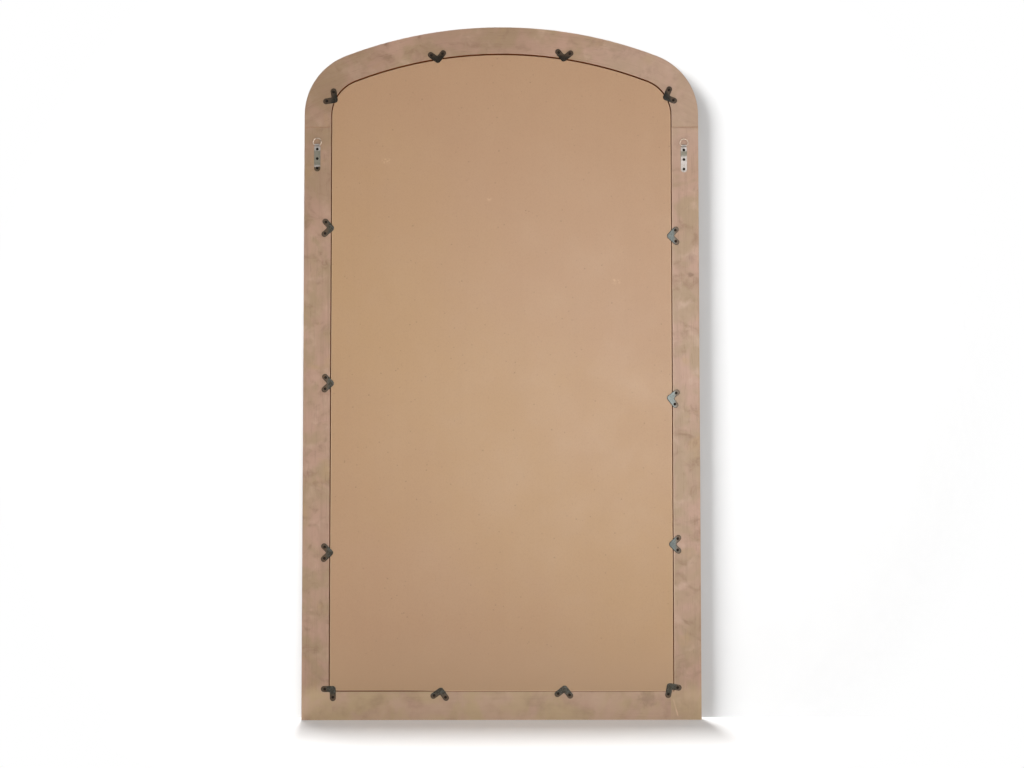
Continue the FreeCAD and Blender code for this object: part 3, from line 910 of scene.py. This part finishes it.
# white surround
stageLook = {
    "white": (1.0, 1.0, 1.0, 1.0),
    "ambient": 0.11,
    "floorTone": (0.86, 0.86, 0.86, 1.0),
    "wallTone": (0.505, 0.505, 0.505, 1.0),
    "floorLift": 0.14,
    "wallLift": 0.02,
    "floorHalf": 40.0,
    "wallHalf": 12.0,
    "wallHeight": 12.0,
    "wallPlace": -0.025,
    "fade": (1.12, 1.35),  # from the middle of the mirror, shadow to plain white
    "mirroredTone": 0.86,  # floor beside the mirror as the glass shows it
    "mirroredFade": (1.12, 7.0),
}


def seenRays(bench):  # straight to the eye, and by way of metal or glass
    path = bench.node("ShaderNodeLightPath", None, None, "Is Camera Ray")
    return path, path.output("Is Glossy Ray") + path.output("Is Transmission Ray")


def mixed(bench, share, first, second):
    return bench.node("ShaderNodeMixShader", None, {0: share, 1: first, 2: second})


def makeSky():
    world = bpy.data.worlds.new("whiteStudio")
    bpy.context.scene.world = world
    bench = Bench(world)

    def sky(strength):
        return bench.node("ShaderNodeBackground", None, {"Color": stageLook["white"], "Strength": strength})

    straight, mirrored = seenRays(bench)
    shown = mixed(bench, straight + mirrored, sky(stageLook["ambient"]), sky(1.0))
    bench.node("ShaderNodeOutputWorld", None, {"Surface": shown})


def stageSheet(name, corners):
    mesh = bpy.data.meshes.new(name)
    mesh.from_pydata(corners, [], [(0, 1, 2, 3)])
    sheet = placed(name, mesh)
    return sheet


def paleSurface(bench, toneHere, lift):  # keeps the shadow near the mirror, plain white far from it
    sockets = {0: surfacePlace(bench), 1: (0, 0, backPlan["middle"])}
    far = bench.node("ShaderNodeVectorMath", {"operation": "DISTANCE"}, sockets, "Value")
    matt = bench.node("ShaderNodeBsdfDiffuse", None, {"Color": toneHere})

    def glow(strength):
        return bench.node("ShaderNodeEmission", None, {"Color": stageLook["white"], "Strength": strength})

    white = glow(1.0)
    near = bench.node("ShaderNodeAddShader", None, {0: matt, 1: glow(lift)})
    shown = mixed(bench, ease(bench, far, stageLook["fade"]), near, white)
    beside = glow(stageLook["mirroredTone"])
    reflected = mixed(bench, ease(bench, far, stageLook["mirroredFade"]), beside, white)
    straight, mirrored = seenRays(bench)
    return mixed(bench, mirrored, mixed(bench, straight, matt, shown), reflected)


def makeFloor():
    half = stageLook["floorHalf"]
    floor = stageSheet("floor", [(-half, -half, 0), (half, -half, 0), (half, half, 0), (-half, half, 0)])
    bench = newFinish("paleFloor")
    surface = paleSurface(bench, stageLook["floorTone"], stageLook["floorLift"])
    bench.node("ShaderNodeOutputMaterial", None, {"Surface": surface})
    floor.data.materials.append(bench.owner)


def makeWall():  # shown only to an eye behind the mirror, and lights nothing
    half, deep, top = (stageLook[key] for key in ("wallHalf", "wallPlace", "wallHeight"))
    wall = stageSheet("wall", [(half, deep, 0), (-half, deep, 0), (-half, deep, top), (half, deep, top)])
    bench = newFinish("paleWall")
    surface = paleSurface(bench, stageLook["wallTone"], stageLook["wallLift"])
    clear = bench.node("ShaderNodeBsdfTransparent", None, {"Color": stageLook["white"]})
    rear = bench.node("ShaderNodeNewGeometry", None, None, "Backfacing")
    bench.node("ShaderNodeOutputMaterial", None, {"Surface": mixed(bench, rear, surface, clear)})
    wall.data.materials.append(bench.owner)
    wall.visible_diffuse = False
    wall.visible_glossy = False
    wall.visible_transmission = False
    wall.visible_shadow = False


makeSky()
makeFloor()
makeWall()
print("stage set")


# soft lamps: place, aim, size across and up, watts
lampPlan = {
    "cameraBox": {"place": (-0.47, 3.2, 0.99), "aim": (-0.2, 0.0, 0.95), "size": (1.15, 1.4), "watts": 46},
    "keyRight": {"place": (-5.2, 3.9, 1.5), "aim": (0.0, 0.0, 0.95), "size": (2.6, 2.6), "watts": 55},
    "overhead": {"place": (0.0, -0.6, 4.2), "aim": (0.0, -0.6, 0.0), "size": (3.0, 1.0), "watts": 40},
    "glassSide": {"place": (1.6, -4.6, 2.4), "aim": (0.0, 0.0, 0.9), "size": (2.5, 2.5), "watts": 150,
                  "mirrored": False},
    # these two light the wall or the floor alone, for the mirror's shadow on it
    "wallWash": {"place": (5.31, 4.45, 4.95), "aim": (0.0, 0.0, 0.95), "size": (4.2, 4.2), "watts": 1500,
                 "mirrored": False, "only": "wall"},
    "floorWash": {"place": (0.9, -7.35, 50.0), "aim": (0.9, -7.35, 0.0), "size": (1.6, 9.2), "watts": 17700,
                  "mirrored": False, "only": "floor"},
}


def makeLamps():
    for name, plan in lampPlan.items():
        data = bpy.data.lights.new(name, "AREA")
        data.shape = "RECTANGLE"
        data.size, data.size_y = plan["size"]
        data.energy = plan["watts"]
        lamp = placed(name, data)
        lamp.location = plan["place"]
        aim = Vector(plan["aim"]) - lamp.location
        lamp.rotation_euler = aim.to_track_quat("-Z", "Y").to_euler()
        lamp.visible_camera = False
        lamp.visible_glossy = plan.get("mirrored", True)
        if "only" in plan:
            lit = bpy.data.collections.new(name)
            lit.objects.link(bpy.data.objects[plan["only"]])
            lamp.light_linking.receiver_collection = lit


makeLamps()
bpy.context.scene.view_settings.view_transform = "Standard"
print("lamps set:", len(lampPlan))
